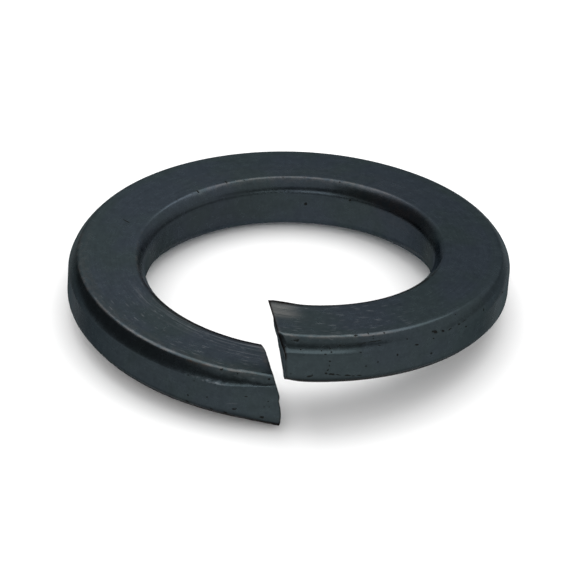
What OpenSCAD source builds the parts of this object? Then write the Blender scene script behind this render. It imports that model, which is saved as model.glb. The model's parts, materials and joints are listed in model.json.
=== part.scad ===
// Split spring lock washer: one turn of bevelled wire, coiled left-handed and cut through once.
// The bore axis is +Z, the underside of the lower end touches Z = 0, and the split faces -Y.

/* [Ring] */
// Diameter of the bore, which passes over the bolt
bore_d = 22.5; // [18:0.1:30]
// Width of the wire, from the bore to the outer wall
wire_w = 6; // [4.5:0.1:9]
// Thickness of the wire along the axis
wire_t = 4; // [3:0.1:6]
// Height that the wire climbs over one full turn
rise = 3.8; // [2.6:0.1:6]

/* [Wire corners] */
// Width of the bevel on each corner, measured across the ring
bevel_w = 0.75; // [0.4:0.05:1.3]
// Height of the bevel on each corner, measured along the axis
bevel_h = 0.95; // [0.4:0.05:1.2]
// Bulge of each bevel beyond its straight line
bevel_crown = 0.06; // [0.02:0.01:0.1]
// Radius where the flat faces roll over into the bevels
edge_r = 0.3; // [0.1:0.05:0.45]

/* [Split] */
// Angle of the split from -Y, positive towards -X
split_turn = 1.8; // [-30:0.1:30]
// Gap that would be left if the two ends were pressed level
split_gap = 0.3; // [0.15:0.05:1.5]
// Turn of the cut from the radius, so that it runs to +X on its way out
split_skew = 11; // [0:1:20]
// Lean of the cut from the axis next to the upper face, to +X on its way down
shear_lean = 19; // [0:1:30]
// Lean of the cut from the axis below that, where the wire broke through
break_lean = 4; // [0:1:20]
// Depth below the upper face at which the lean changes
shear_depth = 1.5; // [0.5:0.1:2.5]

/* [Smoothness] */
// Sections along the whole turn
turn_steps = 100; // [80:10:160]
// Straight pieces on each rolled edge and on each bevel
edge_steps = 2; // [2:1:3]

/* [Hidden] */

bore_r = bore_d / 2;
outer_r = bore_r + wire_w;
mid_r = bore_r + wire_w / 2;
ring_h = rise + wire_t;
wall_steps = 96;
deg = 180 / PI;

// Wire left beyond the bore and the outer wall, to be trimmed by the true cylinders
trim = 0.1;
// Share of the gap that the swept ends reach into, to be trimmed by the cut
end_reach = 0.3;
// Turn left open between the swept ends
open_deg = (1 - end_reach) * split_gap / mid_r * deg;
start_deg = -90 - split_turn;

bevel_angle = atan2(bevel_h, bevel_w);
roll_len = edge_r * tan(bevel_angle / 2);

// Rolled edge between a flat face and its bevel, an arc tangent to both lines
function roll_point(a) = [bevel_w + roll_len - edge_r * sin(a), wire_t / 2 - edge_r * (1 - cos(a))];

// Bevel from its upper edge, s = 0, to the wall, s = 1
function bevel_point(s) = let (bulge = 4 * bevel_crown * s * (1 - s)) [
    bevel_w * (1 - s) - bulge * sin(bevel_angle),
    wire_t / 2 - bevel_h * s + bulge * cos(bevel_angle)
];

// The last straight piece of a bevel, carried on through the wall
foot = bevel_point(1);
before_foot = bevel_point(1 - 1 / edge_steps);
trim_drop = trim * (before_foot[1] - foot[1]) / before_foot[0];

// One upper corner, from the flat face out through the wall, as [depth behind the wall, height]
corner = concat(
    [for (i = [0:edge_steps]) roll_point(bevel_angle * i / edge_steps)],
    [for (i = [1:edge_steps - 1]) bevel_point(i / edge_steps)],
    [[-trim, max(foot[1] - trim_drop, foot[1] / 4)]]
);
function backwards(points) = [for (i = [len(points) - 1:-1:0]) points[i]];

// The whole section, as [radius, height above the middle of the wire], round from the upper outer corner
section = concat(
    [for (p = corner) [outer_r - p[0], p[1]]],
    [for (p = backwards(corner)) [outer_r - p[0], -p[1]]],
    [for (p = corner) [bore_r + p[0], -p[1]]],
    [for (p = backwards(corner)) [bore_r + p[0], p[1]]]
);

// How far the cut has run to +X at a height above the middle of the wire
function cut_shift(z) = let (below = wire_t / 2 - shear_depth - z)
    below * tan(below < 0 ? shear_lean : break_lean);

// Angle by which a point of the section leads, so that the ends of the sweep follow the cut
function lead(p) = ((p[0] - mid_r) * tan(split_skew) + cut_shift(p[1])) / p[0] * deg;

// A point of the section carried clockwise round the axis, seen from above, and up with the turn
function on_helix(p, turn) = let (a = turn - lead(p), dir = start_deg - a)
    [p[0] * cos(dir), p[0] * sin(dir), wire_t / 2 + p[1] + rise * a / 360];

module coiled_wire() {
    count = len(section);
    points = [
        for (i = [0:turn_steps])
            for (p = section)
                on_helix(p, open_deg / 2 + (360 - open_deg) * i / turn_steps)
    ];
    sides = [
        for (i = [0:turn_steps - 1])
            for (j = [0:count - 1])
                let (k = (j + 1) % count, a = i * count, b = a + count)
                    each [[a + j, a + k, b + k], [a + j, b + k, b + j]]
    ];
    first_end = [for (j = [count - 1:-1:0]) j];
    last_end = [for (j = [0:count - 1]) turn_steps * count + j];
    polyhedron(points, concat(sides, [first_end, last_end]), convexity = 6);
}

// Face of the lower end, or of the upper end, as a line of [distance to +X, height]
function end_line(side, base) = let (middle = base + wire_t / 2) [
    for (z = [ring_h + wire_t, middle + wire_t / 2 - shear_depth, -wire_t])
        [side * split_gap / 2 + cut_shift(z - middle), z]
];

// Bent slot that parts the two ends
module cut() {
    rotate([0, 0, -split_turn])
        translate([0, -mid_r, 0])
            rotate([90, 0, split_skew])
                linear_extrude(2 * wire_w, center = true)
                    polygon(concat(end_line(-1, 0), backwards(end_line(1, rise))));
}

module wall_cylinder(r) {
    translate([0, 0, -ring_h])
        cylinder(h = 3 * ring_h, r = r, $fn = wall_steps);
}

module lock_washer() {
    color([0.2, 0.23, 0.25])
        difference() {
            intersection() {
                coiled_wire();
                wall_cylinder(outer_r);
            }
            wall_cylinder(bore_r);
            cut();
        }
}

lock_washer();
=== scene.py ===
import json
import math
from types import SimpleNamespace
import bmesh
import bpy
import numpy as np
from mathutils import Matrix, Vector


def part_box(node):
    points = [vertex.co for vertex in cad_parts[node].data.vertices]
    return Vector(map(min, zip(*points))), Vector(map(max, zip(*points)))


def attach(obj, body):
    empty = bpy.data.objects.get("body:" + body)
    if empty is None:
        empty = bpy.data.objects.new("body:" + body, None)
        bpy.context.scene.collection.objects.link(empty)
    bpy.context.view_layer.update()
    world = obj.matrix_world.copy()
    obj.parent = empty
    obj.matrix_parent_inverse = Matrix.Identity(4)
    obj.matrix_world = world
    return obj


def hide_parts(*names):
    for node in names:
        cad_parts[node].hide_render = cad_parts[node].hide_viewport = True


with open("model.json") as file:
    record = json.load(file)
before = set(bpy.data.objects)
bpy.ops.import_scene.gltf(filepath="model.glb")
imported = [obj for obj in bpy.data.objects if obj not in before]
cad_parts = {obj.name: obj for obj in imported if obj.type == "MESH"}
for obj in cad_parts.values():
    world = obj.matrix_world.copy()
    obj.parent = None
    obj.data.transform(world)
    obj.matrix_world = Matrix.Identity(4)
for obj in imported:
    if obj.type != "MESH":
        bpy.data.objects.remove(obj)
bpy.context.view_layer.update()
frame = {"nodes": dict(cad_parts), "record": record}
mm = 0.001
scene = bpy.context.scene
scene.view_settings.view_transform = "Standard"
print("frame loaded:", sorted(frame["nodes"]))

# sizes that come with the frame
boreMount = next(m for m in frame["record"]["mounts"] if m["name"] == "bore")
boreR = boreMount["dims"]["r_mm"]
lowCorner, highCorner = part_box("lock_washer")
outerR = (highCorner[0] - lowCorner[0]) / 2 / mm
ringH = (highCorner[2] - lowCorner[2]) / mm
midR = (boreR + outerR) / 2

# camera

photoCamera = {
    "stand": (0.0, -267.8, 154.1),  # mm, about nine ring diameters away
    "lookAt": (0.05, -0.65, 2.74),
    "roll": -3.66,  # degrees, the ring leans on its low end
    "lens": 244.7,
    "sensor": 36.0,
    "clip": (0.01, 10.0),  # m
}


def setCamera(c):
    data = bpy.data.cameras.new("photoCamera")
    data.lens = c["lens"]
    data.sensor_width = c["sensor"]
    data.clip_start, data.clip_end = c["clip"]
    cam = bpy.data.objects.new("photoCamera", data)
    scene.collection.objects.link(cam)
    stand = Vector(c["stand"]) * mm
    ahead = (Vector(c["lookAt"]) * mm - stand).normalized()
    side = ahead.cross(Vector((0, 0, 1))).normalized()
    above = side.cross(ahead)
    turn = math.radians(c["roll"])
    right = side * math.cos(turn) - above * math.sin(turn)
    up = side * math.sin(turn) + above * math.cos(turn)
    cam.matrix_world = Matrix.Translation(stand) @ Matrix((right, up, -ahead)).transposed().to_4x4()
    scene.camera = cam
    print("camera set")


setCamera(photoCamera)

# coiled wire

wire = {
    "thick": 4.0,  # mm along the axis
    "twist": 0.85,  # degrees, outer side up at the low end, down at the high end
    "lowLift": 0.17,  # mm that the outer rim stands up next to the low end
    "liftEnds": (5.5, 14.0),  # degrees of turn over which that fades
    "liftReach": (0.6, 2.3),  # mm out from the middle of the wire, where it sets in
    "liftDepth": (1.2, 2.6),  # mm below the upper face, where it fades
    "cutMiddle": 0.45,  # mm to -X of the axis, where the turn counts from
    "spare": 0.02,  # mm that the skin may pass the bore and the outside
    "waves": [(0.008, 34.0, 5), (0.005, 7.0, 6)],  # height in mm, length in degrees, number of sines
    "waveDepth": (0.1, 0.4),  # mm below the upper face, where the waves set in
    "wallFrom": 1.5,  # mm from the middle of the wire, beyond which the walls begin
    "wallTo": 3.5,  # mm below the upper face, where the walls end
    "topTo": 0.2,  # mm below the upper face, where that ends
    "rows": {"under": 1, "bore": 5, "top": 11, "outer": 16},  # points between the corners of the section
    "support": 0.06,  # mm from a corner to the next point
    "fineStep": 0.22,  # degrees between stations near the split
    "coarseStep": 0.66,
    "fineLow": 46.0,  # how far the fine stations reach from each end
    "fineHigh": 292.0,
    "lastGap": 0.05,  # degrees that stay free before the last station
    "plainAt": 30.0,  # degrees of turn, where the way round the section is measured
    "sharpAngle": 40,
    "seed": 11,
}

# the three stretches of a corner, rolled edge, bevel and turn into the wall: length, then lean at its end
cornerShapes = {
    "outerTop": [(0.40, 50), (0.40, 58), (0.62, None)],
    "innerTop": [(0.24, 42), (0.72, 62), (0.80, 90)],
    "low": [(0.26, 50), (0.50, 60), (0.25, 90)],
}

# corners in mm, as reach across the face and depth down the wall, at some turns from the low end
cornersAt = [
    # turn, outer top with the lean where it meets the wall, inner top, outer low, inner low
    (0.0, (0.85, 0.56, 76), (0.83, 1.20), (0.47, 0.55), (0.53, 0.86)),
    (3.0, (0.92, 0.71, 76), (0.83, 1.20), (0.63, 0.72), (0.53, 0.86)),
    (6.0, (0.92, 0.85, 76), (0.83, 1.22), (0.77, 0.84), (0.53, 0.86)),
    (9.0, (0.93, 0.98, 76), (0.84, 1.24), (0.87, 0.94), (0.53, 0.86)),
    (12.0, (0.94, 1.08, 77), (0.84, 1.24), (0.89, 0.96), (0.53, 0.86)),
    (15.0, (0.945, 1.14, 78), (0.84, 1.24), (0.89, 0.96), (0.53, 0.86)),
    (30.0, (0.945, 1.15, 72), (0.84, 1.24), (0.89, 0.96), (0.53, 0.86)),
    (70.0, (0.945, 1.17, 71), (0.90, 1.30), (0.89, 0.96), (0.60, 0.92)),
    (110.0, (1.00, 1.21, 78), (0.98, 1.36), (0.89, 0.96), (0.78, 1.16)),
    (145.0, (0.98, 1.20, 83), (1.00, 1.34), (0.89, 0.96), (0.55, 0.88)),
    (180.0, (0.945, 1.18, 86), (0.98, 1.27), (0.89, 0.96), (0.46, 0.78)),
    (215.0, (1.08, 1.27, 86), (1.00, 1.36), (0.89, 0.96), (0.55, 0.88)),
    (250.0, (1.10, 1.28, 86), (0.98, 1.40), (0.89, 0.96), (0.78, 1.16)),
    (280.0, (0.98, 1.20, 86), (0.95, 1.35), (0.89, 0.96), (0.60, 0.92)),
    (310.0, (0.945, 1.18, 86), (0.92, 1.30), (0.89, 0.96), (0.53, 0.86)),
    (334.0, (0.945, 1.18, 84), (0.89, 1.28), (0.87, 0.96), (0.53, 0.86)),
    (344.0, (0.945, 1.17, 77), (0.88, 1.26), (0.84, 0.96), (0.53, 0.86)),
    (355.0, (0.945, 1.17, 76), (0.76, 1.16), (0.80, 0.90), (0.70, 0.98)),
    (358.6, (0.98, 1.17, 76), (0.67, 1.06), (0.77, 0.83), (0.90, 1.07)),
    (360.0, (1.32, 1.17, 76), (0.62, 1.02), (0.76, 0.80), (1.00, 1.10)),
]

# the two sheared ends: depth below the upper face, then distance to +X at the middle of the wire, in mm
cutEnds = {
    "low": [(0.0, -1.07), (0.3, -0.99), (0.75, -0.84), (1.2, -0.70), (1.5, -0.60), (1.75, -0.65),
            (2.27, -0.51), (2.8, -0.44), (3.3, -0.45), (4.0, -0.48)],
    "high": [(0.0, -0.93), (0.5, -0.75), (0.85, -0.60), (1.25, -0.45), (2.1, -0.34), (2.9, -0.21),
             (3.4, -0.14), (4.0, -0.09)],
    "lowSkew": [(0.0, 10.6), (4.0, 10.6)],  # turn of the cut from the radius, by depth
    "highSkew": [(0.0, 11.2), (2.5, 10.4), (4.0, 7.0)],
    "cornerBack": 0.30,  # inner corner of the low end, rounded back
    "cornerFrom": 1.7,  # mm out from the bore where that starts
    "cornerLong": 1.2,
    "cornerDepth": (0.85, 1.15),  # mm below the upper face where it fades
    "rollLong": 0.6,  # how far the upper face rolls down towards the cut
    "upperDepth": (0.7, 1.6),  # mm below the upper face, where the changes by the cut fade
    "lowDrop": -0.012,
    "lowPull": (1.2, 2.2),  # mm out from the middle of the wire, where the drop sets in
    "highDrop": 0.07,
    "highPull": (0.6, 2.3),
    "tipLift": 0.08,  # burr beside the inner tip of the high end
    "tipAt": (1.1, 0.9),  # mm from the cut, middle and half length
    "tipBlunt": 0.08,
    "bluntLong": 0.3,
    "tipReach": (0.2, 2.0),  # mm out from the bore, where the burr fades
    "footLift": 0.15,  # lower corner of the high end, pressed up
    "footLong": 0.8,
    "footDepth": (2.7, 3.8),
    "capRings": 14,
    "ringShares": (0.985, 0.95, 0.06),  # size of the first ring, the second and the last
    "crown": 0.012,  # mm that the faces of the cut stand out, and their middle
    "middleCrown": 0.02,
    "grain": 0.03,
    "grainWaves": (0.5, 1.6),  # mm, shortest and longest
    "grainCount": 14,
    "tornFrom": 1.4,  # mm below the upper face, where the torn zone sets in
    "tornLong": 0.5,
    "smoothShare": 0.15,  # grain of the smooth zone above it
    "runCode": 50.0,  # gives the faces of the cut a grain of their own
}

# marks of the skin: turn from the low end in degrees, mm below the upper face, or less than 0 for mm in from
# its rim, half length, half height, tilt, fade
darkMarks = [
    (355.47, 0.30, 0.11, 0.05, 4, 0), (354.85, 0.31, 0.13, 0.08, 19, 0), (354.51, 0.25, 0.05, 0.06, 3, 0),
    (356.22, 0.33, 0.08, 0.03, 4, 0.6), (357.89, 0.75, 0.10, 0.06, 2, 0),
    (353.94, 0.86, 0.06, 0.04, 3, 0.4), (353.03, 1.26, 0.04, 0.04, 3, 0.5),
    (348.69, 0.89, 0.04, 0.06, 1, 0.4), (346.56, 0.73, 0.08, 0.06, 0, 0), (346.21, 0.99, 0.07, 0.06, -1, 0),
    (347.67, 1.15, 0.11, 0.04, 0, 0.2), (346.43, 1.77, 0.08, 0.08, -1, 0),
    (346.46, 2.13, 0.04, 0.11, -1, 0.5), (346.83, 2.51, 0.07, 0.10, -1, 0),
    (347.22, 2.80, 0.11, 0.09, -23, 0), (345.78, 2.90, 0.24, 0.10, -8, 0),
    (344.09, 2.96, 0.25, 0.04, -11, 0.2), (341.66, 3.05, 0.25, 0.06, -7, 0),
    (340.22, 3.12, 0.14, 0.05, -5, 0.2), (338.59, 3.13, 0.22, 0.05, -2, 0.2),
    (351.37, 3.11, 0.20, 0.09, 12, 0), (350.65, 2.99, 0.11, 0.05, 38, 0.1),
    (355.98, 2.99, 0.08, 0.05, 7, 0.4), (343.96, 0.54, 0.12, 0.05, -2, 0),
    (342.94, 0.57, 0.10, 0.05, -2, 0.1), (338.33, 0.51, 0.50, 0.03, 4, 0.1),
    (334.71, 0.45, 0.60, 0.03, 2, 0), (333.69, 0.74, 0.16, 0.04, -6, 0.5),
    (333.83, 2.11, 0.08, 0.08, -8, 0), (337.01, 2.34, 0.10, 0.10, -6, 0.6),
    (328.47, 1.75, 0.09, 0.09, -11, 0.1), (338.66, 1.11, 0.10, 0.04, -5, 0.2),
    (339.42, 0.02, 0.18, 0.03, 1, 0), (335.95, 0.03, 0.06, 0.03, -3, 0),
    (334.83, 0.13, 0.09, 0.03, -4, 0.1), (331.60, 0.05, 0.06, 0.03, -4, 0),
    (334.99, 0.27, 0.07, 0.04, -5, 0.4), (316.65, 0.70, 0.19, 0.13, -13, 0),
    (317.53, 0.61, 0.13, 0.07, -12, 0.1), (314.22, 0.80, 0.14, 0.09, -15, 0),
    (317.60, 1.13, 0.12, 0.07, -15, 0.5), (322.93, 1.25, 0.20, 0.08, -14, 0.1),
    (325.67, 0.64, 0.08, 0.06, -9, 0.5), (317.90, 2.41, 0.12, 0.09, -16, 0),
    (308.33, 0.81, 0.15, 0.05, 3, 0), (311.83, 0.88, 0.25, 0.04, 6, 0.4),
    (306.25, 0.77, 0.39, 0.03, 2, 0.4), (305.62, 1.27, 0.13, 0.07, -21, 0.2),
    (308.24, 0.18, 0.07, 0.04, -14, 0.2), (297.23, 0.88, 0.09, 0.13, -21, 0.2),
    (284.34, 1.12, 0.25, 0.09, -25, 0.3), (14.00, 0.11, 0.12, 0.04, 8, 0), (9.57, 0.18, 0.07, 0.04, 5, 0.1),
    (1.33, 0.22, 0.11, 0.06, 7, 0.2), (21.89, 2.73, 0.08, 0.08, 19, 0.3),
    (16.74, 2.41, 0.10, 0.05, 16, 0.4), (6.76, 1.74, 0.15, 0.04, 8, 0.4), (1.12, 1.87, 0.08, 0.07, 7, 0.6),
    (2.06, 2.28, 0.05, 0.05, 8, 0.5), (0.84, 2.26, 0.04, 0.08, 7, 0.5), (9.60, 2.89, 0.20, 0.07, 8, 0),
    (9.06, 2.77, 0.08, 0.05, 13, 0.1), (2.52, 3.22, 0.18, 0.11, 20, 0), (22.28, 3.42, 0.17, 0.14, -7, 0),
    (15.67, 3.45, 0.13, 0.13, -8, 0), (11.98, 3.51, 0.17, 0.15, -8, 0), (22.25, 1.05, 0.07, 0.04, 17, 0.2),
    (20.41, 1.35, 0.08, 0.04, 18, 0.4),
]
# bright marks: scratches, and painted glints on the ragged edge under the bevel by the low end
brightMarks = [
    (20.99, 1.00, 0.18, 0.05, -2, 0), (19.67, 0.95, 0.14, 0.05, 2, 0), (18.10, 1.10, 0.11, 0.07, 15, 0),
    (17.07, 0.96, 0.12, 0.09, -14, 0), (16.33, 1.09, 0.11, 0.07, 15, 0.1), (15.45, 1.08, 0.14, 0.06, -5, 0),
    (14.39, 1.04, 0.20, 0.09, -2, 0), (13.08, 1.04, 0.28, 0.07, 7, 0), (10.20, 2.45, 0.63, 0.04, 12, 0.6),
    (5.34, 0.32, 0.13, 0.03, 7, 0.3), (10.23, 0.29, 0.08, 0.04, 6, 0.1), (13.64, 0.30, 0.04, 0.07, 10, 0.4),
    (346.47, 0.13, 0.13, 0.03, -29, 0), (345.89, 0.17, 0.08, 0.03, 17, 0),
]
boreMarks = [
    (183.53, 2.03, 0.20, 0.14, -2, 0), (202.19, 1.15, 0.17, 0.10, -8, 0),
    (106.02, -1.47, 0.47, 0.08, -62, 0), (128.64, -0.02, 0.22, 0.09, 0, 0.8),
    (138.77, 0.04, 0.12, 0.08, 6, 0), (151.54, -0.06, 0.19, 0.12, 19, 0.5),
    (158.62, 0.03, 0.14, 0.04, 3, 0.8), (173.80, 0.03, 0.30, 0.04, 0, 0.9),
    (196.12, 0.09, 0.19, 0.06, 0, 0.8), (182.06, 0.04, 0.35, 0.04, -1, 1.0),
    (136.12, 0.02, 0.10, 0.04, 7, 0.9),
]
dent = {"deep": 0.03, "least": 0.07}  # mm, depth of the sunk marks and half size from which a mark is sunk
sideCode = {"outer": 0, "bore": 10, "cut": 30}  # keeps the marks of one side off the others
rimIn = {"outer": 0.95, "bore": 1.0}  # mm from the wall to the rim of the upper face

# ragged edge under the bevel, by the low end
lowBurr = {
    "depth": 1.1,  # mm below the upper face
    "shallower": 0.45,  # mm less at the very end
    "shallowTo": (2, 19),  # degrees of turn over which that changes
    "half": 0.14,
    "span": ((9, 14), (22, 28)),
    "high": 0.010,
    "coarse": (3.1, 4),  # length in degrees and number of sines
    "fine": (1.3, 4),
    "across": (2.0, 3),
    "acrossTurn": 40,  # degrees that one mm of depth counts as
    "acrossShare": 0.5,
    "contrast": 1.6,
    "limits": (-0.7, 1),
}


def window(value, low, high):
    # smooth step from 0 at low to 1 at high
    s = np.clip((value - low) / (high - low), 0, 1)
    return s * s * (3 - 2 * s)


def over(value, start, end):
    # 1 on a stretch that starts and ends in smooth steps
    return window(value, *start) * (1 - window(value, *end))


def bump(value, middle, half):
    return np.exp(-((value - middle) / half) ** 2)


def plateau(value, middle, half):
    # like bump, with a flat top
    return np.exp(-((value - middle) / half) ** 4)


def smoothNoise(rng, x, wave, count):
    # seeded sum of sines along the turn, so both ends stay free
    total = np.zeros_like(x)
    for _ in range(count):
        pace = rng.uniform(0.6, 1.6) * 2 * math.pi / wave
        total += np.sin(x * pace + rng.uniform(0, 7)) / count
    return total


def cornerPoints(wide, deep, shape, steps, lastLean=90):
    # from the flat face round to the wall, as depth behind the wall and depth below the face
    ends = np.concatenate([[0], np.cumsum([length for length, _ in shape])])
    leans = [0] + [lastLean if lean is None else lean for _, lean in shape]
    s = np.linspace(0, ends[-1], 400)
    lean = np.radians(np.interp(s, ends, leans))
    x = np.concatenate([[0], np.cumsum((np.cos(lean[1:]) + np.cos(lean[:-1])) / 2)])
    y = np.concatenate([[0], np.cumsum((np.sin(lean[1:]) + np.sin(lean[:-1])) / 2)])
    stretches = zip(ends, ends[1:], steps)
    at = [np.linspace(lo, hi, n, endpoint=False) for lo, hi, n in stretches]
    at = np.concatenate(at + [ends[-1:]])
    pts = np.c_[wide * (1 - np.interp(at, s, x / x[-1])), deep * np.interp(at, s, y / y[-1])]
    beside = wire["support"]
    return np.concatenate([[(wide + beside, 0.0)], pts, [(0.0, deep + beside)]])


def sectionLoop(outerTop, innerTop, outerLow, innerLow):
    # radius and height above the middle of the wire, from the middle of the underside round by the bore
    half = wire["thick"] / 2
    oT = cornerPoints(*outerTop[:2], cornerShapes["outerTop"], (7, 5, 8), outerTop[2])
    iT = cornerPoints(*innerTop, cornerShapes["innerTop"], (6, 5, 7))
    oL = cornerPoints(*outerLow, cornerShapes["low"], (4, 2, 3))
    iL = cornerPoints(*innerLow, cornerShapes["low"], (4, 2, 3))
    lowIn = np.c_[boreR + iL[:, 0], -half + iL[:, 1]]
    topIn = np.c_[boreR + iT[:, 0], half - iT[:, 1]][::-1]
    topOut = np.c_[outerR - oT[:, 0], half - oT[:, 1]]
    lowOut = np.c_[outerR - oL[:, 0], -half + oL[:, 1]][::-1]
    seam = np.array([[midR, -half]])

    def between(a, b, face):
        return a + (b - a) * np.linspace(0, 1, wire["rows"][face] + 2)[1:-1, None]

    return np.concatenate([
        seam, between(seam[0], lowIn[0], "under"), lowIn,
        between(lowIn[-1], topIn[0], "bore"), topIn,
        between(topIn[-1], topOut[0], "top"), topOut,
        between(topOut[-1], lowOut[0], "outer"), lowOut,
        between(lowOut[-1], seam[0], "under"),
    ])


def cutX(end, r, below):
    # how far to +X the cut lies at a radius and a depth
    x = np.interp(below, *np.array(cutEnds[end]).T)
    skew = np.interp(below, *np.array(cutEnds[end + "Skew"]).T)
    x = x + (r - midR) * np.tan(np.radians(skew))
    if end == "low":
        corner = np.clip((boreR + cutEnds["cornerFrom"] - r) / cutEnds["cornerLong"], 0, 1) ** 2
        x = x - cutEnds["cornerBack"] * corner * (1 - window(below, *cutEnds["cornerDepth"]))
    return x


def endAngle(end, r, below):
    return -90 + np.degrees(np.arcsin(cutX(end, r, below) / r))


def sweepWire():
    # the skin as a grid, by station along the turn and by point round the section
    w = SimpleNamespace()
    half = wire["thick"] / 2
    rise = ringH - wire["thick"]
    fineLow, fineHigh, step = wire["fineLow"], wire["fineHigh"], wire["fineStep"]
    share = np.concatenate([np.arange(0, fineLow, step), np.arange(fineLow, fineHigh, wire["coarseStep"]),
                            np.arange(fineHigh, 360 - wire["lastGap"], step), [360]])
    keys = np.array([k[0] for k in cornersAt])
    loops = np.array([sectionLoop(*k[1:]) for k in cornersAt])
    slot = np.clip(np.searchsorted(keys, share, side="right") - 1, 0, len(keys) - 2)
    mix = window((share - keys[slot]) / (keys[slot + 1] - keys[slot]), 0, 1)[:, None, None]
    section = loops[slot] * (1 - mix) + loops[slot + 1] * mix
    r, z = section[..., 0], section[..., 1]
    w.below = half - z

    t = share[:, None] / 360
    twist = np.radians(wire["twist"]) * (1 - 2 * t)
    r, z = r - z * np.sin(twist), z + (r - midR) * np.sin(twist)
    w.r = np.clip(r, boreR - wire["spare"], outerR + wire["spare"])

    low, high = endAngle("low", w.r, w.below), endAngle("high", w.r, w.below)
    w.angle = (1 - t) * low + t * (high - 360)
    # degrees from the low end, counted from the middle of the cut
    w.turn = -90 - np.degrees(np.arcsin(wire["cutMiddle"] / midR)) - w.angle
    w.height = half + z + rise * w.turn / 360
    w.fromLow = np.radians(w.angle[:1] - w.angle) * w.r  # mm from either cut
    w.fromHigh = np.radians(w.angle - w.angle[-1:]) * w.r

    # which way the skin faces, across the ring and up
    dr = np.roll(w.r, -1, 1) - np.roll(w.r, 1, 1)
    dz = np.roll(z, -1, 1) - np.roll(z, 1, 1)
    size = np.hypot(dr, dz)
    w.outR, w.outZ = -dz / size, dr / size
    w.lean = np.degrees(np.arctan2(np.abs(w.outR), w.outZ))

    wall = w.below < wire["wallTo"]
    w.onOuter = (w.r > midR + wire["wallFrom"]) * wall * 1.0
    w.onBore = (w.r < midR - wire["wallFrom"]) * wall * 1.0
    w.onTop = (w.below < wire["topTo"]) * 1.0
    # the grain runs by the turn and by the way round the section
    plain = loops[np.searchsorted(keys, wire["plainAt"])]
    perimeter = np.concatenate([[0], np.cumsum(np.hypot(*np.diff(plain, axis=0).T))])
    w.run = np.stack([np.radians(w.turn) * midR, np.broadcast_to(perimeter, r.shape), np.zeros_like(r)], -1)
    print("wire swept:", len(share), "stations of", loops.shape[1], "points")
    return w


def pressEnds(w):
    # the rim stands up next to the low end
    rim = window(w.r - midR, *wire["liftReach"]) * (1 - window(w.below, *wire["liftDepth"]))
    w.height = w.height + wire["lowLift"] * rim * (1 - window(w.turn, *wire["liftEnds"]))

    # the shear pulled the upper face down beside the cut, and left a burr on the inner tip of the high end
    c = cutEnds
    upper = 1 - window(w.below, *c["upperDepth"])
    pulledLow = np.clip(1 - w.fromLow / c["rollLong"], 0, 1) ** 2 * window(w.r - midR, *c["lowPull"])
    pulledHigh = np.clip(1 - w.fromHigh / c["rollLong"], 0, 1) ** 2 * window(w.r - midR, *c["highPull"])
    w.height = w.height - upper * (c["lowDrop"] * pulledLow + c["highDrop"] * pulledHigh)
    tip = c["tipLift"] * bump(w.fromHigh, *c["tipAt"]) - c["tipBlunt"] * bump(w.fromHigh, 0, c["bluntLong"])
    w.height = w.height + tip * upper * (1 - window(w.r - boreR, *c["tipReach"]))
    foot = bump(w.fromHigh, 0, c["footLong"]) * window(w.below, *c["footDepth"])
    w.height = w.height + c["footLift"] * foot


def sinkMarks(w):
    # where each point lies for the marks: mm along the turn, mm below the upper face or in from its rim, side
    bore = w.r < midR
    inward = np.where(bore, w.r - boreR - rimIn["bore"], outerR - rimIn["outer"] - w.r)
    side = np.where(bore, sideCode["bore"], sideCode["outer"])
    w.at = np.stack([np.radians(w.turn) * outerR, w.below - np.clip(inward, 0, None), side], -1)
    sink = np.zeros_like(w.r)
    for name, marks in (("outer", darkMarks), ("bore", boreMarks)):
        for where, depth, long, tall, tilt, fade in marks:
            if min(long, tall) > dent["least"] and depth > 0 and not fade:
                u, v = w.at[..., 0] - math.radians(where) * outerR, w.at[..., 1] - depth
                hollow = bump(np.hypot(u / long, v / tall), 0, 1) * (side == sideCode[name])
                sink = np.maximum(sink, dent["deep"] * hollow)

    # slow waviness that rolling leaves
    rng = np.random.default_rng(wire["seed"])
    wave = sum(high * smoothNoise(rng, w.turn, long, count) for high, long, count in wire["waves"])
    sink = sink + wave * np.clip(w.onOuter + w.onBore, 0, 1) * window(w.below, *wire["waveDepth"])

    # ragged edge of the bevel near the low end
    b = lowBurr
    edge = b["depth"] - b["shallower"] * (1 - window(w.turn, *b["shallowTo"]))
    burr = w.onOuter * bump(w.below, edge, b["half"]) * over(w.turn, *b["span"])
    ragged = smoothNoise(rng, w.turn, *b["coarse"]) * (1 + smoothNoise(rng, w.turn, *b["fine"]))
    across = smoothNoise(rng, w.below * b["acrossTurn"] + w.turn, *b["across"])
    ragged = ragged + b["acrossShare"] * across
    sink = sink - b["high"] * burr * np.clip(ragged * b["contrast"], *b["limits"])
    w.r = w.r - w.outR * sink
    w.height = w.height - w.outZ * sink
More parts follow.
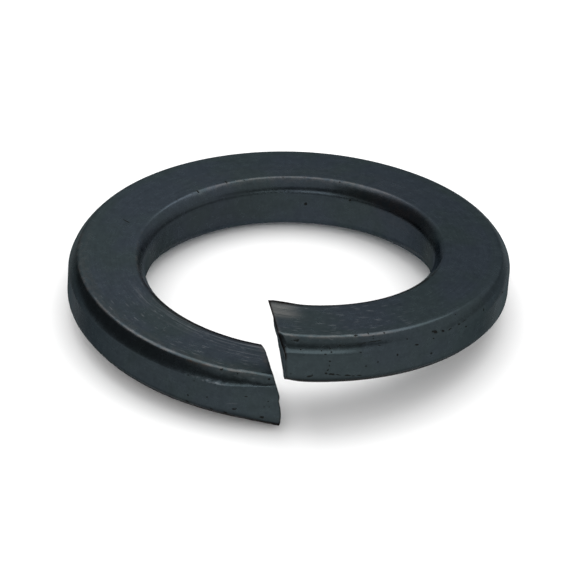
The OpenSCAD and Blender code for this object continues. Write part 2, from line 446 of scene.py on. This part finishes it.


# where the finish changes, and where highlight and shade are painted
wearAndPaintedLight = {
    # turns from the low end in degrees, as the limits of a smooth start and a smooth end
    "leftRub": ((1, 6), (70, 120)),
    "rightRub": (322, 338),
    "farRub": ((125, 150), (215, 235)),
    "leftDashes": ((1, 6), (40, 85)),
    "rightDashes": (312, 330),
    "leftScuff": ((1, 5), (48, 70)),
    "scuffThins": (6, 28),
    "rightScuff": (332, 345),
    "lineGap": ((52, 84), (283, 297)),  # far stretch of the inner edge, without its dark line
    "lineThins": ((20, 60), (180, 300)),
    "dullGap": ((150, 178), (238, 258)),  # far stretch of the inner bevel that stays bright
    "shade": ((246, 268), (284, 296)),
    "shadeWidens": (268, 282),
    # turns, as middle and half length
    "leftRust": (21, 2.6),
    "farRust": (226, 20),
    "leftPale": (0, 16),
    "rightPale": (360, 26),
    # steepness in degrees, as middle and half width, then as limits
    "rubLean": (28, 16),
    "farRubLean": (24, 16),
    "rustLean": (58, 24),
    "lineLean": (30, 46),
    "dullLean": (40, 62),
    "shadeLean": ((42, 49), (61, 74)),
    "shadeMore": 12,
    # mm from the cut, as middle and half width
    "lowEdge": (0.22, 0.2),
    "highEdge": (0.2, 0.12),
    "lowLine": (0, 0.07),
    "highLine": (0, 0.12),
    "tipLine": (1.0, 0.55),
    "wornTip": (0, 2.0),
    # mm out from the bore, as middle and half width, then as limits
    "wornAcross": (1.9, 0.98),
    "leftScuffAt": (1.5, 1.5),
    "leftScuffThin": 0.6,
    "rightScuffAt": (1.25, 0.35),
    "innerLine": (0.90, 1.02),
    "lineThinner": 0.06,
    "tipLineEnds": (0.95, 1.35),
    # mm from the middle of the face, as limits, and in from the outside
    "flatEnds": (2.1, 2.35),
    "lowEdgeEnds": (0.6, 1.6),
    "outerRim": (-1.15, 0.35),
    # mm below the upper face, as limits, and for the rust as middle and half height
    "tipLineTo": 0.3,
    "lowLineDeeper": (0.9, 1.3),
    "highLineFades": (1.4, 2.0),
    "paleFrom": (1.1, 1.5),
    "underFrom": (3.0, 3.3),
    "footFrom": (3.45, 3.75),
    "rustDepth": (0.13, 0.07),
}


def wearAndPaintedLightZones(w):
    # how much of each kind of wear, painted highlight and painted shade every point has
    below, turn, lean, fromLow, fromHigh = w.below, w.turn, w.lean, w.fromLow, w.fromHigh
    out, across = w.r - boreR, w.r - midR
    upperHalf = below < wire["thick"] / 2
    innerTop = (across < 0) * upperHalf
    outerSide = across > 0
    flat = w.onTop * (1 - window(np.abs(across), *wearAndPaintedLight["flatEnds"]))
    leftRub = over(turn, *wearAndPaintedLight["leftRub"])

    # rubbed bright, partly a painted highlight: the rolled edges, the rim of the face on the left, and both
    # edges of the cut
    rolled = bump(lean, *wearAndPaintedLight["rubLean"]) * (leftRub + 1.1 * window(turn, *wearAndPaintedLight["rightRub"]))
    # painted highlight on the far inner roll, brightened in patches here and dimmed with the painted bore
    # shade
    farPaintedSheen = innerTop * bump(lean, *wearAndPaintedLight["farRubLean"]) * over(turn, *wearAndPaintedLight["farRub"])
    rim = bump(w.r - outerR, *wearAndPaintedLight["outerRim"]) * flat * leftRub
    lowEdge = bump(fromLow, *wearAndPaintedLight["lowEdge"]) * flat * (1 - window(across, *wearAndPaintedLight["lowEdgeEnds"]))
    highEdge = bump(fromHigh, *wearAndPaintedLight["highEdge"]) * flat

    # dark lines: along the cut, round the lower rim, along the inner edge and beside the tip
    highLine = bump(fromHigh, *wearAndPaintedLight["highLine"]) * (1 - 0.7 * window(below, *wearAndPaintedLight["highLineFades"]))
    lowLine = bump(fromLow, *wearAndPaintedLight["lowLine"]) * (1 + window(below, *wearAndPaintedLight["lowLineDeeper"]))
    foot = window(below, *wearAndPaintedLight["footFrom"]) * outerSide
    inner = out + wearAndPaintedLight["lineThinner"] * over(turn, *wearAndPaintedLight["lineThins"])
    innerLine = upperHalf * (1 - window(inner, *wearAndPaintedLight["innerLine"])) * (1 - window(lean, *wearAndPaintedLight["lineLean"]))
    innerLine = innerLine * (1 - over(turn, *wearAndPaintedLight["lineGap"]))
    tipLine = bump(fromHigh, *wearAndPaintedLight["tipLine"]) * (1 - window(out, *wearAndPaintedLight["tipLineEnds"]))
    tipLine = tipLine * (below < wearAndPaintedLight["tipLineTo"])

    # the inner bevel on the right, darker where it narrows
    start, end = wearAndPaintedLight["shadeLean"]
    more = wearAndPaintedLight["shadeMore"] * window(turn, *wearAndPaintedLight["shadeWidens"])
    shade = innerTop * over(turn, *wearAndPaintedLight["shade"]) * window(lean + more, *start) * (1 - window(lean, *end))

    # painted shade on the bevel inside the bore, and on the far inner roll to dim its highlight
    dull = w.onBore * window(lean, *wearAndPaintedLight["dullLean"]) * (1 - over(turn, *wearAndPaintedLight["dullGap"]))
    leftRust = bump(turn, *wearAndPaintedLight["leftRust"]) * bump(below, *wearAndPaintedLight["rustDepth"]) * w.onOuter
    farRust = innerTop * bump(turn, *wearAndPaintedLight["farRust"]) * bump(lean, *wearAndPaintedLight["rustLean"])
    middle, half = wearAndPaintedLight["leftScuffAt"]
    half = half + (wearAndPaintedLight["leftScuffThin"] - half) * window(turn, *wearAndPaintedLight["scuffThins"])
    leftScuff = bump(out, middle, half) * over(turn, *wearAndPaintedLight["leftScuff"])
    rightScuff = bump(out, *wearAndPaintedLight["rightScuffAt"]) * window(turn, *wearAndPaintedLight["rightScuff"])
    leftDashes = over(turn, *wearAndPaintedLight["leftDashes"])
    rightDashes = window(turn, *wearAndPaintedLight["rightDashes"])
    pale = 0.7 * bump(turn, *wearAndPaintedLight["leftPale"]) + bump(turn, *wearAndPaintedLight["rightPale"])
    return {
        "rub": rolled + 0.35 * rim + lowEdge + 0.8 * highEdge + 0.9 * farPaintedSheen,
        "tip": plateau(fromHigh, *wearAndPaintedLight["wornTip"]) * plateau(out, *wearAndPaintedLight["wornAcross"]) * w.onTop,
        "rust": leftRust + 0.3 * farRust,
        "flat": flat,
        "dashes": flat * (leftDashes + 0.9 * rightDashes),
        "scuff": flat * (leftScuff + rightScuff),
        "outer": w.onOuter,
        "pale": w.onOuter * window(below, *wearAndPaintedLight["paleFrom"]) * pale,
        "cut": np.zeros_like(out),
        "edge": np.clip(1.6 * highLine + 0.6 * lowLine + foot + 0.75 * innerLine + 0.6 * tipLine, 0, 1),
        # painted shade: the outer wall darker towards its lower rim
        "under": window(below, *wearAndPaintedLight["underFrom"]) * outerSide,
        "dull": dull + 0.6 * farPaintedSheen,
        "shade": shade,
    }


def tornGrain(across, height, seed):
    # broken surface of a cut, from waves in all directions
    rng = np.random.default_rng(seed)
    total = np.zeros_like(across)
    for _ in range(cutEnds["grainCount"]):
        way, wave = rng.uniform(0, math.pi), rng.uniform(*cutEnds["grainWaves"])
        along = across * math.cos(way) + height * math.sin(way)
        total += np.sin(along * 2 * math.pi / wave + rng.uniform(0, 7))
    return total / math.sqrt(cutEnds["grainCount"])


def addCap(skin, end, first, loop, section, outward, seed):
    # sheared end: rings shrink from the edge of the section to its middle, smooth above and torn below
    count = len(loop)
    r, below = section
    edgeX = cutX(end, r, below)
    centre = loop.mean(0)
    flip = end == "high"

    def addPoints(points):
        skin.verts.extend(points.tolist())
        for name, values in skin.zones.items():
            values.extend([1.0 if name == "cut" else 0.0] * len(points))
        skin.run.extend([(p[0], p[2], cutEnds["runCode"]) for p in points])
        skin.at.extend([(0, 0, sideCode["cut"])] * len(points))

    previous = list(range(first, first + count))
    outermost, second, last = cutEnds["ringShares"]
    shares = [outermost] + list(np.linspace(second, last, cutEnds["capRings"]))
    for k, share in enumerate(shares):
        ring = centre + (loop - centre) * share
        bent = cutX(end, r.mean() + (r - r.mean()) * share, below.mean() + (below - below.mean()) * share)
        ring[:, 0] += bent - edgeX.mean() - (edgeX - edgeX.mean()) * share
        grain = tornGrain(np.hypot(ring[:, 0], ring[:, 1]), ring[:, 2], seed)
        deep = loop[:, 2].max() - ring[:, 2] - cutEnds["tornFrom"]
        torn = np.clip(deep / cutEnds["tornLong"], cutEnds["smoothShare"], 1)
        push = cutEnds["grain"] * grain * torn * (k > 0) + cutEnds["crown"] * min(k, 1)
        start = len(skin.verts)
        addPoints(ring + push[:, None] * outward)
        now = list(range(start, start + count))
        for j in range(count):
            n = (j + 1) % count
            quad = (previous[j], previous[n], now[n], now[j])
            skin.faces.append(quad[::-1] if flip else quad)
        previous = now
    middle = len(skin.verts)
    centre[0] += cutX(end, r.mean(), below.mean()) - edgeX.mean()
    addPoints((centre + outward * cutEnds["middleCrown"])[None])
    for j in range(count):
        tri = (previous[j], previous[(j + 1) % count], middle)
        skin.faces.append(tri[::-1] if flip else tri)


def makeWasher():
    w = sweepWire()
    pressEnds(w)
    sinkMarks(w)
    way = np.radians(w.angle)
    grid = np.stack([w.r * np.cos(way), w.r * np.sin(way), w.height], -1)
    rows, count = grid.shape[:2]
    skin = SimpleNamespace(verts=grid.reshape(-1, 3).tolist(), faces=[])
    skin.zones = {name: values.reshape(-1).tolist() for name, values in wearAndPaintedLightZones(w).items()}
    skin.run = w.run.reshape(-1, 3).tolist()
    skin.at = w.at.reshape(-1, 3).tolist()
    for a in range(0, (rows - 1) * count, count):  # rows of points, one station after the other
        b = a + count
        for j in range(count):
            n = (j + 1) % count
            skin.faces.append((a + j, b + j, b + n, a + n))
    skew = math.radians(cutEnds["lowSkew"][0][1])
    outward = np.array([math.cos(skew), math.sin(skew), 0.0])
    addCap(skin, "low", 0, grid[0], (w.r[0], w.below[0]), outward, wire["seed"] + 1)
    last = (rows - 1) * count
    addCap(skin, "high", last, grid[-1], (w.r[-1], w.below[-1]), -outward, wire["seed"] + 2)

    mesh = bpy.data.meshes.new("lockWasher")
    mesh.from_pydata([(x * mm, y * mm, z * mm) for x, y, z in skin.verts], [], skin.faces)
    mesh.validate()
    bm = bmesh.new()
    bm.from_mesh(mesh)
    bmesh.ops.recalc_face_normals(bm, faces=bm.faces)
    bm.to_mesh(mesh)
    bm.free()
    for name, values in skin.zones.items():
        layer = mesh.attributes.new(name, "FLOAT", "POINT")
        layer.data.foreach_set("value", np.array(values, dtype=np.float32))
    for name, values in (("run", skin.run), ("at", skin.at)):
        layer = mesh.attributes.new(name, "FLOAT_VECTOR", "POINT")
        layer.data.foreach_set("vector", np.array(values, dtype=np.float32).ravel())
    mesh.shade_smooth()
    mesh.set_sharp_from_angle(angle=math.radians(wire["sharpAngle"]))
    washer = bpy.data.objects.new("lockWasher", mesh)
    scene.collection.objects.link(washer)
    print("washer mesh:", len(mesh.polygons), "faces")
    return washer


washer = makeWasher()

# finish: blue-black oxide on spring steel, with painted highlight and painted shade in places

oxide = {
    "blue": (0.0345, 0.0435, 0.0535, 1),
    "green": (0.0335, 0.0445, 0.0485, 1),
    # steel: rubbed edges, partly a painted highlight
    "steel": (0.130, 0.108, 0.097, 1),  # rubbed edges
    # silver: dashes and scuffs, and the bright marks with their painted glints
    "silver": (0.21, 0.22, 0.235, 1),  # dashes and scuffs
    "worn": (0.143, 0.145, 0.142, 1),  # tip of the high end
    "torn": (0.034, 0.044, 0.050, 1),  # faces of the cut
    "pit": (0.009, 0.008, 0.006, 1),
    "rust": (0.055, 0.036, 0.026, 1),
    # edge: also the colour of the painted shade on the lower outer wall and in the bore
    "edge": (0.010, 0.008, 0.007, 1),  # dark lines along the cut and the lower rim
    "shade": (0.005, 0.008, 0.011, 1),  # inner bevel on the right, where it narrows
    "roughness": 0.20,
    "mottleRough": 0.12,  # added where the finish is mottled, and in the pits
    "pitRough": 0.4,
    "reflection": (0.45, 0.45, 0.45, 1),
    "reliefStrength": 0.3,
    "reliefDepth": 0.02,  # mm
    "relief": {"fine": 0.3, "streaks": 0.4, "mottle": 0.8},
    "dullFrom": (0.60, 0.86),  # facing, where the oxide loses its shine towards grazing view
    # how much the painted bore shade takes from the shine
    "dullBevel": 0.35,
}

# brightness of the oxide, from a base and what each pattern adds
tones = {
    "base": 0.48,
    "streaks": 0.2,
    "flatStreaks": 0.25,
    "mottle": 0.45,
    "speck": 0.3,
    "pale": 0.17,
    # painted light and shade across the ring, per m towards -X
    "handledFace": 3.5,  # per m across
    "handledWall": 10.0,
}

# how strongly each kind of wear, painted highlight and painted shade covers the oxide
cover = {
    "greenWall": 0.55,
    "dashes": 0.62,
    "scuffs": 0.5,
    "rubs": 0.27,
    "under": 0.2,
    "dull": 0.18,
    "shade": 0.85,
    "glints": 0.14,
    "pits": 0.8,
}

# patterns: stretch along the wire, round it and through it, or scale per m, then detail and roughness
patterns = {
    "streaks": ((0.22, 7.0, 1.0), 3.0, 0.6),
    "fine": ((0.9, 24.0, 1.0), 2.0, 0.6),
    "dashes": ((1.15, 15.0, 1.0), 0.0, 0.5),
    "scuffs": ((0.16, 9.0, 1.0), 2.0, 0.6),
    "rubs": ((1.6, 3.0, 1.0), 3.0, 0.5),
    "patches": (170.0, 3.0, 0.5),
    "mottle": (1500.0, 3.0, 0.6),
    "speck": (6000.0, 2.0, 0.5),
    "ragged": (5.0, 2.0, 0.5),  # per mm, outlines of the marks
}

# where a pattern starts to show, and where it shows fully
shows = {
    "patches": (0.42, 0.62),
    "dashes": (0.735, 0.775),
    "scuffs": (0.50, 0.68),
    "rubs": (0.36, 0.62),
    "tip": (0.28, 0.56),
    "rust": (0.36, 0.56),
    "edge": (0.30, 0.45),
    "mark": (1.25, 0.65),  # sizes of a mark, from its middle
}
markRagged = 0.14  # mm


class Nodes:
    # small helper that adds and links nodes of one tree
    def __init__(self, tree):
        self.tree = tree

    def add(self, kind, inputs=None, **settings):
        node = self.tree.nodes.new(kind)
        for key, value in settings.items():
            setattr(node, key, value)
        for key, value in (inputs or {}).items():
            if isinstance(value, bpy.types.NodeSocket):
                self.tree.links.new(value, node.inputs[key])
            else:
                node.inputs[key].default_value = value
        return node

    def attribute(self, name, output="Fac"):
        return self.add("ShaderNodeAttribute", attribute_name=name).outputs[output]

    def math(self, operation, a, b, clamp=False):
        return self.add("ShaderNodeMath", {0: a, 1: b}, operation=operation, use_clamp=clamp).outputs[0]

    def times(self, a, b):
        return self.math("MULTIPLY", a, b)

    def plus(self, a, b, clamp=False):
        return self.math("ADD", a, b, clamp)

    def minus(self, a, b, clamp=False):
        return self.math("SUBTRACT", a, b, clamp)

    def vector(self, operation, *inputs):
        return self.add("ShaderNodeVectorMath", dict(enumerate(inputs)), operation=operation)

    def noise(self, name, vector):
        scale, detail, rough = patterns[name]
        if isinstance(scale, tuple):
            vector, scale = self.vector("MULTIPLY", vector, scale).outputs[0], 1.0
        inputs = {"Vector": vector, "Scale": scale, "Detail": detail, "Roughness": rough}
        return self.add("ShaderNodeTexNoise", inputs)

    def pattern(self, name, vector):
        return self.noise(name, vector).outputs["Fac"]

    def band(self, value, limits):
        low, high = limits
        inputs = {"Value": value, "From Min": low, "From Max": high}
        return self.add("ShaderNodeMapRange", inputs, interpolation_type="SMOOTHSTEP").outputs[0]

    def mix(self, fac, a, b):
        return self.add("ShaderNodeMix", {0: fac, 6: a, 7: b}, data_type="RGBA").outputs[2]

    def marks(self, at, places, side):
        # 1 inside any of the marks, each an ellipse along the turn
        # each waits for the one before, which keeps the shader small
        near, here = 9.0, at  # far from all marks at first
        for where, depth, long, tall, tilt, fade in places:
            spot = self.add("ShaderNodeMapping", {
                "Vector": here,
                "Location": (math.radians(where) * outerR, depth, sideCode[side] - fade),
                "Rotation": (0, 0, math.radians(tilt)),
                "Scale": (long, tall, 1),
            }, vector_type="TEXTURE").outputs[0]
            near = self.math("MINIMUM", self.vector("LENGTH", spot).outputs["Value"], near)
            here = self.vector("MULTIPLY_ADD", near, (1e-9, 0, 0), at).outputs[0]
        return self.band(near, shows["mark"])


def oxideSteel():
    mat = bpy.data.materials.new("blueBlackOxide")
    mat.use_nodes = True
    n = Nodes(mat.node_tree)
    shader = mat.node_tree.nodes["Principled BSDF"]
    link = mat.node_tree.links.new
    run = n.attribute("run", "Vector")
    place = n.add("ShaderNodeTexCoord").outputs["Object"]
    flat = n.attribute("flat")
    outer = n.attribute("outer")

    patches = n.band(n.pattern("patches", place), shows["patches"])
    mottle = n.pattern("mottle", place)
    speck = n.pattern("speck", place)
    streaks = n.pattern("streaks", run)
    fine = n.pattern("fine", run)

    # blue on the flat face and in the bore, greener on the outer wall
    tint = n.plus(patches, n.times(outer, cover["greenWall"]), True)
    colour = n.mix(tint, oxide["blue"], oxide["green"])
    tone = n.times(streaks, n.plus(n.times(flat, tones["flatStreaks"]), tones["streaks"]))
    tone = n.plus(tone, n.plus(n.times(mottle, tones["mottle"]), n.times(speck, tones["speck"])))
    # painted light and shade: towards -X the flat face is a little paler and the outer wall a little darker
    across = n.add("ShaderNodeSeparateXYZ", {0: place}).outputs[0]
    wall = n.minus(outer, flat, True)
    paintedSideLight = n.minus(tones["handledFace"], n.times(wall, tones["handledWall"]))
    tone = n.minus(tone, n.times(across, paintedSideLight))
    tone = n.plus(tone, n.times(n.attribute("pale"), tones["pale"]))
    tone = n.plus(tone, tones["base"])
    colour = n.add("ShaderNodeHueSaturation", {"Color": colour, "Value": tone}).outputs[0]

    # short silvery dashes and longer scuffs along the run of the wire, only on the flat face
    dash = n.times(n.band(n.pattern("dashes", run), shows["dashes"]), n.attribute("dashes"))
    colour = n.mix(n.times(dash, cover["dashes"]), colour, oxide["silver"])
    scuff = n.times(n.band(n.pattern("scuffs", run), shows["scuffs"]), n.attribute("scuff"))
    colour = n.mix(n.times(scuff, cover["scuffs"]), colour, oxide["silver"])

    # edges rubbed bright, partly a painted highlight, broken up along their length, then the worn tip, rust
    # and dark places, some of them painted shade
    rub = n.times(n.attribute("rub"), n.band(n.pattern("rubs", run), shows["rubs"]))
    colour = n.mix(n.times(rub, cover["rubs"]), colour, oxide["steel"])
    colour = n.mix(n.times(n.attribute("tip"), n.band(streaks, shows["tip"])), colour, oxide["worn"])
    colour = n.mix(n.times(n.attribute("rust"), n.band(mottle, shows["rust"])), colour, oxide["rust"])
    colour = n.mix(n.attribute("cut"), colour, oxide["torn"])
    dull = n.attribute("dull")
    # painted shade: the lower outer wall and the bevel inside the bore darker
    colour = n.mix(n.times(n.attribute("under"), cover["under"]), colour, oxide["edge"])
    colour = n.mix(n.times(dull, cover["dull"]), colour, oxide["edge"])
    colour = n.mix(n.times(n.attribute("shade"), cover["shade"]), colour, oxide["shade"])
    colour = n.mix(n.times(n.attribute("edge"), n.band(mottle, shows["edge"])), colour, oxide["edge"])

    # single marks, with ragged outlines
    at = n.attribute("at", "Vector")
    swing = (markRagged, markRagged, 0)
    back = (-markRagged / 2, -markRagged / 2, 0)
    shift = n.vector("MULTIPLY_ADD", n.noise("ragged", at).outputs["Color"], swing, back).outputs[0]
    at = n.vector("ADD", at, shift).outputs[0]
    # bright marks: scratches and painted glints
    colour = n.mix(n.times(n.marks(at, brightMarks, "outer"), cover["glints"]), colour, oxide["silver"])
    pit = n.math("MAXIMUM", n.marks(at, darkMarks, "outer"), n.marks(at, boreMarks, "bore"))
    colour = n.mix(n.times(pit, cover["pits"]), colour, oxide["pit"])
    link(colour, shader.inputs["Base Color"])

    # the oxide dulls towards grazing view, so the rims do not flare
    facing = n.add("ShaderNodeLayerWeight", {"Blend": 0.5}).outputs["Facing"]
    bright = n.minus(1.0, n.band(facing, oxide["dullFrom"]))
    # less shine where the painted bore shade lies
    bright = n.times(bright, n.minus(1.0, n.times(dull, oxide["dullBevel"])))
    link(bright, shader.inputs["Metallic"])
    shader.inputs["Specular IOR Level"].default_value = 0.0
    shader.inputs["Specular Tint"].default_value = oxide["reflection"]
    rough = n.plus(n.times(mottle, oxide["mottleRough"]), oxide["roughness"])
    link(n.plus(rough, n.times(pit, oxide["pitRough"]), True), shader.inputs["Roughness"])

    parts = oxide["relief"]
    height = n.plus(n.times(fine, parts["fine"]), n.times(streaks, parts["streaks"]))
    height = n.plus(height, n.times(mottle, parts["mottle"]))
    relief = n.add("ShaderNodeBump", {
        "Strength": oxide["reliefStrength"],
        "Distance": oxide["reliefDepth"] * mm,
        "Height": height,
    })
    link(relief.outputs["Normal"], shader.inputs["Normal"])
    print("finish made:", mat.name)
    return mat


washer.data.materials.append(oxideSteel())
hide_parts("lock_washer")
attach(washer, "root")

# floor, tangent to the washer as it lies at rest

floorSheet = {
    "side": 6.0,  # m
    "colour": (0.93, 0.93, 0.93, 1),
    "roughness": 0.9,
    "gloss": 0.1,
    "mirrored": 1.0,  # how bright it shows in the steel
}


def restPlane(node):
    # the face of the hull that holds the middle of the ring lowest
    bm = bmesh.new()
    bm.from_mesh(frame["nodes"][node].data)
    hull = bmesh.ops.convex_hull(bm, input=bm.verts)
    middle = Vector((0, 0, ringH / 2 * mm))
    best = None
    for face in (f for f in hull["geom"] if isinstance(f, bmesh.types.BMFace)):
        normal = face.normal if face.normal.z < 0 else -face.normal
        gap = (face.calc_center_median() - middle).dot(normal)
        if normal.z < -0.9 and gap > 0 and (best is None or gap < best[0]):
            best = (gap, normal.copy())
    bm.free()
    return middle + best[1] * best[0], -best[1]


def makeFloor(f):
    touch, up = restPlane("lock_washer")
    lowest = min((v.co - touch).dot(up) for v in washer.data.vertices)
    touch = touch + up * min(lowest, 0)
    half = f["side"] / 2
    corners = [(-half, -half, 0), (half, -half, 0), (half, half, 0), (-half, half, 0)]
    mesh = bpy.data.meshes.new("floorSheet")
    mesh.from_pydata(corners, [], [(0, 1, 2, 3)])
    floor = bpy.data.objects.new("floorSheet", mesh)
    scene.collection.objects.link(floor)
    floor.matrix_world = Matrix.Translation(touch) @ up.to_track_quat("Z", "Y").to_matrix().to_4x4()
    mat = bpy.data.materials.new("paleFloor")
    mat.use_nodes = True
    shader = mat.node_tree.nodes["Principled BSDF"]
    shader.inputs["Base Color"].default_value = f["colour"]
    shader.inputs["Roughness"].default_value = f["roughness"]
    shader.inputs["Specular IOR Level"].default_value = f["gloss"]
    # mirrored in the steel the floor is an even white, while the camera sees it with its shadow
    n = Nodes(mat.node_tree)
    mirrored = n.add("ShaderNodeLightPath").outputs["Is Glossy Ray"]
    glow = n.add("ShaderNodeEmission", {"Color": (1, 1, 1, 1), "Strength": f["mirrored"]})
    pick = n.add("ShaderNodeMixShader", {0: mirrored, 1: shader.outputs[0], 2: glow.outputs[0]})
    mat.node_tree.links.new(pick.outputs[0], mat.node_tree.nodes["Material Output"].inputs["Surface"])
    mesh.materials.append(mat)
    print("floor laid, leaning", round(math.degrees(up.angle(Vector((0, 0, 1)))), 2), "degrees")


makeFloor(floorSheet)

# studio light

studio = {
    "world": 1.0,
    "softbox": {"at": (0.0, 0.16, 0.42), "size": (0.58, 0.34), "radiance": 2.1, "level": True},
    "lowStrip": {"at": (0.0, -0.46, 0.04), "size": (0.60, 0.15), "radiance": 2.2, "level": False},
    "aim": (0, 0, 0.004),
    "cardReach": 0.44,  # m from the washer to the cards
    "cardStep": 3.0,
    # the black card: degrees round from the front, then its lower and upper edge in degrees above the floor
    "flag": [(-138, -6, 20), (-125, -6, 36), (-105, -5, 46), (-75, 2, 58), (-54, 6, 58), (-44, 11, 44),
             (-30, 12, 38), (0, 13, 37), (20, 14, 35.5), (36, 17, 34), (60, 23, 29)],
    "flagGlow": 0.18,
    # a grey card far round to the right, dimming the bevel there
    "sideCard": [(84, 4, 12), (96, 0, 18), (125, 0, 18), (150, 0, 12)],
    "sideGlow": 0.6,
}


def areaLamp(name, spec, aim):
    wide, tall = spec["size"]
    data = bpy.data.lights.new(name, "AREA")
    data.shape = "RECTANGLE"
    data.size, data.size_y = wide, tall
    data.energy = spec["radiance"] * math.pi * wide * tall
    lamp = bpy.data.objects.new(name, data)
    scene.collection.objects.link(lamp)
    lamp.location = spec["at"]
    if not spec["level"]:
        lamp.rotation_euler = (Vector(aim) - lamp.location).to_track_quat("-Z", "Y").to_euler()


def hangCard(name, reach, step, edges, glow):
    # curved card, seen only in reflections
    verts, faces = [], []
    around, low, high = np.array(edges, dtype=float).T
    for i, way in enumerate(np.arange(around[0], around[-1] + 1, step)):
        spin = math.radians(way - 90)
        for edge in (low, high):
            tilt = math.radians(np.interp(way, around, edge))
            level = reach * math.cos(tilt)
            verts.append((level * math.cos(spin), level * math.sin(spin), reach * math.sin(tilt)))
        if i:
            a = 2 * i
            faces.append((a - 2, a, a + 1, a - 1))
    mesh = bpy.data.meshes.new(name)
    mesh.from_pydata(verts, [], faces)
    card = bpy.data.objects.new(name, mesh)
    scene.collection.objects.link(card)
    mat = bpy.data.materials.new(name)
    mat.use_nodes = True
    shader = mat.node_tree.nodes["Principled BSDF"]
    shader.inputs["Base Color"].default_value = (0, 0, 0, 1)
    shader.inputs["Specular IOR Level"].default_value = 0.0
    shader.inputs["Emission Color"].default_value = (1, 1, 1, 1)
    shader.inputs["Emission Strength"].default_value = glow
    mesh.materials.append(mat)
    card.visible_camera = False
    card.visible_diffuse = False
    card.visible_shadow = False


def lightStudio(s):
    world = bpy.data.worlds.new("paleRoom")
    world.use_nodes = True
    back = world.node_tree.nodes["Background"]
    back.inputs["Color"].default_value = (1, 1, 1, 1)
    back.inputs["Strength"].default_value = s["world"]
    scene.world = world
    areaLamp("softbox", s["softbox"], s["aim"])
    areaLamp("lowStrip", s["lowStrip"], s["aim"])
    hangCard("darkFlag", s["cardReach"], s["cardStep"], s["flag"], s["flagGlow"])
    hangCard("sideCard", s["cardReach"], s["cardStep"], s["sideCard"], s["sideGlow"])
    print("studio lit")


lightStudio(studio)
